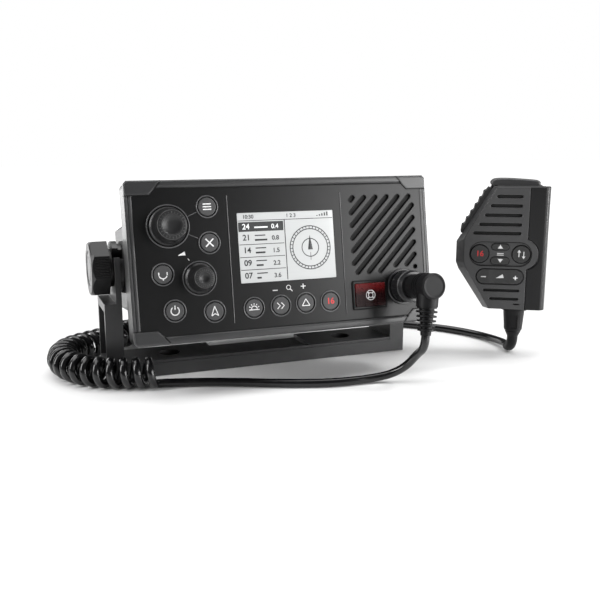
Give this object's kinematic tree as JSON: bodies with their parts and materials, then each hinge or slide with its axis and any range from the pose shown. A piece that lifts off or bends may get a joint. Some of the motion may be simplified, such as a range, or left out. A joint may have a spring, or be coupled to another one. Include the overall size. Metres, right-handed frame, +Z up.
{
  "type": "vhf marine radio",
  "caption": "Fixed-mount marine radio on a tilting cradle bracket, with display, keys, knobs, speaker grille, covered distress key and a fist microphone on a curly cord.",
  "frame": {"origin": "on the surface the bracket stands on, midway between its two fixing screws and under the tilt axis", "axes": "+Z up out of the bracket's base, +X to the right as the user faces the panel, +Y to the rear"},
  "size_m": [0.3149, 0.1953, 0.1216],
  "materials": {
    "bracket_plastic": "fine moulded grain",
    "panel_plastic": "satin moulded front",
    "trim_plastic": "satin trim",
    "housing_metal": "black powder coat on a die casting",
    "key_rubber": "fine grained rubber with printed symbols",
    "knob_plastic": "soft touch plastic",
    "clear_window": "clear hard coated window",
    "display": "pale display",
    "board": "circuit board",
    "steel": "stainless steel",
    "speaker_black": "black cone and frame",
    "red_clear": "translucent red cover",
    "red_plastic": "red key",
    "plug_rubber": "black moulded rubber",
    "cord_jacket": "glossy black jacket",
    "mic_plastic": "fine grained shell",
    "seal": "seal",
    "nickel": "nickel plated brass"
  },
  "bodies": {
    "root": {"mounting_bracket": "bracket_plastic", "front_lead": "cord_jacket", "curly_cord": "cord_jacket", "rear_lead": "cord_jacket", "mic_front_shell": "mic_plastic", "mic_rear_shell": "mic_plastic", "mic_board": "board", "mic_speaker": "speaker_black", "mic_capsule": "steel", "mic_screws": "steel", "hanger_stud": "mic_plastic", "mic_boot": "plug_rubber"},
    "radio": {"front_panel": "panel_plastic", "top_trim": "trim_plastic", "bottom_trim": "trim_plastic", "side_trims": "trim_plastic", "corner_caps": "trim_plastic", "rotary_encoders": "steel", "display_window": "clear_window", "display_module": "display", "keypad_mat": "seal", "main_board": "board", "speaker": "speaker_black", "speaker_cloth": "speaker_black", "front_seal": "seal", "rear_housing": "housing_metal", "antenna_socket": "nickel", "accessory_sockets": "plug_rubber", "housing_screws": "steel", "friction_washers": "seal", "mic_socket": "plug_rubber", "plug_body": "plug_rubber", "plug_boot": "plug_rubber"},
    "key_menu": {"key_menu": "key_rubber"},
    "key_cancel": {"key_cancel": "key_rubber"},
    "key_call": {"key_call": "key_rubber"},
    "key_power": {"key_power": "key_rubber"},
    "key_nav": {"key_nav": "key_rubber"},
    "key_light": {"key_light": "key_rubber"},
    "key_scan": {"key_scan": "key_rubber"},
    "key_watch": {"key_watch": "key_rubber"},
    "key_preset": {"key_preset": "key_rubber"},
    "clamp_knob_left": {"clamp_knob_left": "knob_plastic"},
    "clamp_knob_right": {"clamp_knob_right": "knob_plastic"},
    "channel_shaft": {"channel_shaft": "steel"},
    "channel_knob": {"channel_knob": "knob_plastic"},
    "volume_shaft": {"volume_shaft": "steel"},
    "volume_knob": {"volume_knob": "knob_plastic"},
    "coupling_ring": {"coupling_ring": "plug_rubber"},
    "distress_button": {"distress_button": "red_plastic"},
    "distress_cover": {"distress_cover": "red_clear"},
    "mic_key_quick": {"mic_key_quick": "key_rubber"},
    "mic_key_power": {"mic_key_power": "key_rubber"},
    "mic_key_up": {"mic_key_up": "key_rubber"},
    "mic_key_down": {"mic_key_down": "key_rubber"},
    "mic_volume_rocker": {"mic_volume_rocker": "key_rubber"},
    "ptt_lever": {"ptt_lever": "key_rubber"}
  },
  "joints": [
    {"name": "radio_tilt", "type": "hinge", "parent": "root", "child": "radio", "pos_m": [0, 0, 0.0666], "axis": [1, 0, 0], "range_deg": [-10, 12], "deforming": ["front_lead", "curly_cord"]},
    {"name": "key_menu_press", "type": "slide", "parent": "radio", "child": "key_menu", "axis": [0, 0.9848, -0.1736], "range_m": [0, 0.0008], "stiffness_N_per_m": 400, "springref_m": -0.0004},
    {"name": "key_cancel_press", "type": "slide", "parent": "radio", "child": "key_cancel", "axis": [0, 0.9848, -0.1736], "range_m": [0, 0.0008], "stiffness_N_per_m": 400, "springref_m": -0.0004},
    {"name": "key_call_press", "type": "slide", "parent": "radio", "child": "key_call", "axis": [0, 0.9848, -0.1736], "range_m": [0, 0.0008], "stiffness_N_per_m": 400, "springref_m": -0.0004},
    {"name": "key_power_press", "type": "slide", "parent": "radio", "child": "key_power", "axis": [0, 0.9848, -0.1736], "range_m": [0, 0.0008], "stiffness_N_per_m": 400, "springref_m": -0.0004},
    {"name": "key_nav_press", "type": "slide", "parent": "radio", "child": "key_nav", "axis": [0, 0.9848, -0.1736], "range_m": [0, 0.0008], "stiffness_N_per_m": 400, "springref_m": -0.0004},
    {"name": "key_light_press", "type": "slide", "parent": "radio", "child": "key_light", "axis": [0, 0.9848, -0.1736], "range_m": [0, 0.0008], "stiffness_N_per_m": 400, "springref_m": -0.0004},
    {"name": "key_scan_press", "type": "slide", "parent": "radio", "child": "key_scan", "axis": [0, 0.9848, -0.1736], "range_m": [0, 0.0008], "stiffness_N_per_m": 400, "springref_m": -0.0004},
    {"name": "key_watch_press", "type": "slide", "parent": "radio", "child": "key_watch", "axis": [0, 0.9848, -0.1736], "range_m": [0, 0.0008], "stiffness_N_per_m": 400, "springref_m": -0.0004},
    {"name": "key_preset_press", "type": "slide", "parent": "radio", "child": "key_preset", "axis": [0, 0.9848, -0.1736], "range_m": [0, 0.0008], "stiffness_N_per_m": 400, "springref_m": -0.0004},
    {"name": "clamp_knob_left_turn", "type": "hinge", "parent": "radio", "child": "clamp_knob_left", "pos_m": [-0.1, 0, 0.0666], "axis": [-1, 0, 0], "range_deg": [0, 360]},
    {"name": "clamp_knob_right_turn", "type": "hinge", "parent": "radio", "child": "clamp_knob_right", "pos_m": [0.1, 0, 0.0666], "axis": [1, 0, 0], "range_deg": [0, 360]},
    {"name": "channel_knob_push", "type": "slide", "parent": "radio", "child": "channel_shaft", "axis": [0, 0.9848, -0.1736], "range_m": [0, 0.0008], "stiffness_N_per_m": 600, "springref_m": -0.0005},
    {"name": "channel_knob_turn", "type": "hinge", "parent": "channel_shaft", "child": "channel_knob", "pos_m": [-0.0693, -0.06059, 0.09729], "axis": [0, 0.9848, -0.1736], "continuous": true},
    {"name": "volume_knob_push", "type": "slide", "parent": "radio", "child": "volume_shaft", "axis": [0, 0.9848, -0.1736], "range_m": [0, 0.0008], "stiffness_N_per_m": 600, "springref_m": -0.0005},
    {"name": "volume_knob_turn", "type": "hinge", "parent": "volume_shaft", "child": "volume_knob", "pos_m": [-0.0536, -0.0657, 0.06833], "axis": [0, 0.9848, -0.1736], "continuous": true},
    {"name": "coupling_ring_turn", "type": "hinge", "parent": "radio", "child": "coupling_ring", "pos_m": [0.073, -0.06894, 0.05571], "axis": [0, 0.9848, -0.1736], "range_deg": [0, 300]},
    {"name": "distress_press", "type": "slide", "parent": "radio", "child": "distress_button", "axis": [0, 0.9848, -0.1736], "range_m": [0, 0.0012], "stiffness_N_per_m": 500, "springref_m": -0.0005},
    {"name": "distress_cover_lift", "type": "hinge", "parent": "radio", "child": "distress_cover", "pos_m": [0.05, -0.06407, 0.05799], "axis": [-1, 0, 0], "range_deg": [0, 105], "stiffness_Nm_per_rad": 0.002, "springref_deg": -17.19},
    {"name": "mic_key_quick_press", "type": "slide", "parent": "root", "child": "mic_key_quick", "axis": [0.5299, 0.848, 0], "range_m": [0, 0.0007], "stiffness_N_per_m": 400, "springref_m": -0.0004},
    {"name": "mic_key_power_press", "type": "slide", "parent": "root", "child": "mic_key_power", "axis": [0.5299, 0.848, 0], "range_m": [0, 0.0007], "stiffness_N_per_m": 400, "springref_m": -0.0004},
    {"name": "mic_key_up_press", "type": "slide", "parent": "root", "child": "mic_key_up", "axis": [0.5299, 0.848, 0], "range_m": [0, 0.0007], "stiffness_N_per_m": 400, "springref_m": -0.0004},
    {"name": "mic_key_down_press", "type": "slide", "parent": "root", "child": "mic_key_down", "axis": [0.5299, 0.848, 0], "range_m": [0, 0.0007], "stiffness_N_per_m": 400, "springref_m": -0.0004},
    {"name": "mic_volume_rock", "type": "hinge", "parent": "root", "child": "mic_volume_rocker", "pos_m": [0.15004, -0.05391, 0.055], "axis": [0, 0, 1], "range_deg": [-2, 2], "stiffness_Nm_per_rad": 0.06},
    {"name": "push_to_talk", "type": "hinge", "parent": "root", "child": "ptt_lever", "pos_m": [0.1346, -0.03164, 0.0832], "axis": [0.5299, 0.848, 0], "range_deg": [0, 3], "stiffness_Nm_per_rad": 0.5, "springref_deg": -1.72}
  ]
}
